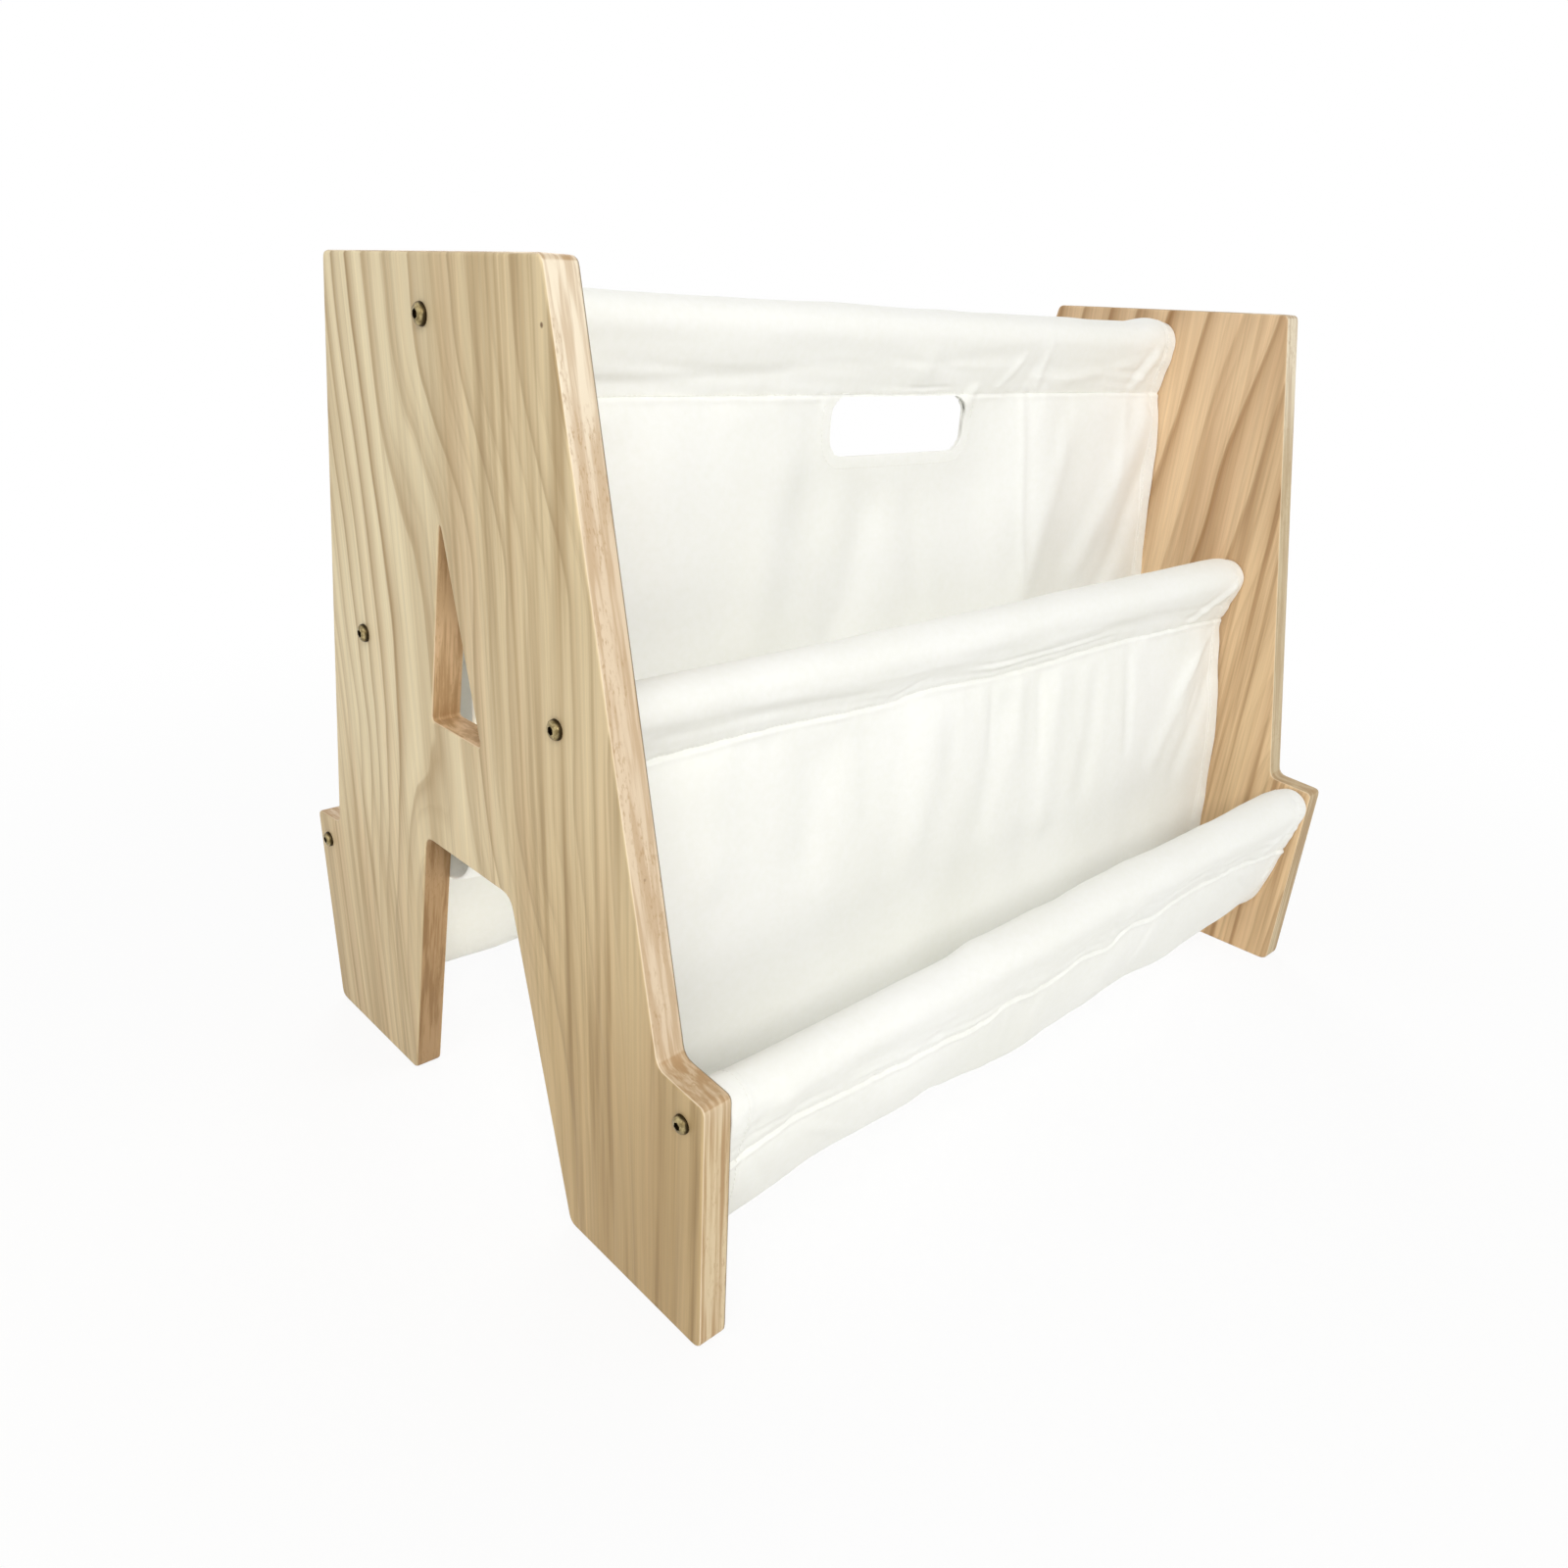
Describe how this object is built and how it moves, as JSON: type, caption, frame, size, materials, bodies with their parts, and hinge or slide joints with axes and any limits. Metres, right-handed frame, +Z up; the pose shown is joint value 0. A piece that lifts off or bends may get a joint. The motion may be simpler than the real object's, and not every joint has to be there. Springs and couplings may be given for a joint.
{
  "type": "sling bookshelf",
  "caption": "Double-sided children's sling bookshelf: A-shaped pine end panels joined by round rails that carry canvas slings with tiered book pockets and a hand hole.",
  "frame": {"origin": "centre of the footprint on the floor", "axes": "+X along the rails from the left panel to the right one, -Y is the front, +Z up"},
  "size_m": [0.6652, 0.4298, 0.5],
  "materials": {
    "panel_pine": "clear matt lacquer over planed pine, edges rounded over",
    "rail_pine": "sanded round pine",
    "sling_canvas": "plain-weave off-white cotton canvas, hemmed and topstitched",
    "bolt_brass": "antique brass, satin",
    "insert_steel": "zinc plated"
  },
  "bodies": {
    "root": {"left_side_panel": "panel_pine", "right_side_panel": "panel_pine", "top_rail": "rail_pine", "top_insert_left": "insert_steel", "top_bolt_left": "bolt_brass", "top_insert_right": "insert_steel", "top_bolt_right": "bolt_brass", "front_mid_rail": "rail_pine", "front_mid_insert_left": "insert_steel", "front_mid_bolt_left": "bolt_brass", "front_mid_insert_right": "insert_steel", "front_mid_bolt_right": "bolt_brass", "rear_mid_rail": "rail_pine", "rear_mid_insert_left": "insert_steel", "rear_mid_bolt_left": "bolt_brass", "rear_mid_insert_right": "insert_steel", "rear_mid_bolt_right": "bolt_brass", "front_low_rail": "rail_pine", "front_low_insert_left": "insert_steel", "front_low_bolt_left": "bolt_brass", "front_low_insert_right": "insert_steel", "front_low_bolt_right": "bolt_brass", "rear_low_rail": "rail_pine", "rear_low_insert_left": "insert_steel", "rear_low_bolt_left": "bolt_brass", "rear_low_insert_right": "insert_steel", "rear_low_bolt_right": "bolt_brass", "front_sling": "sling_canvas", "rear_sling": "sling_canvas"}
  },
  "joints": []
}
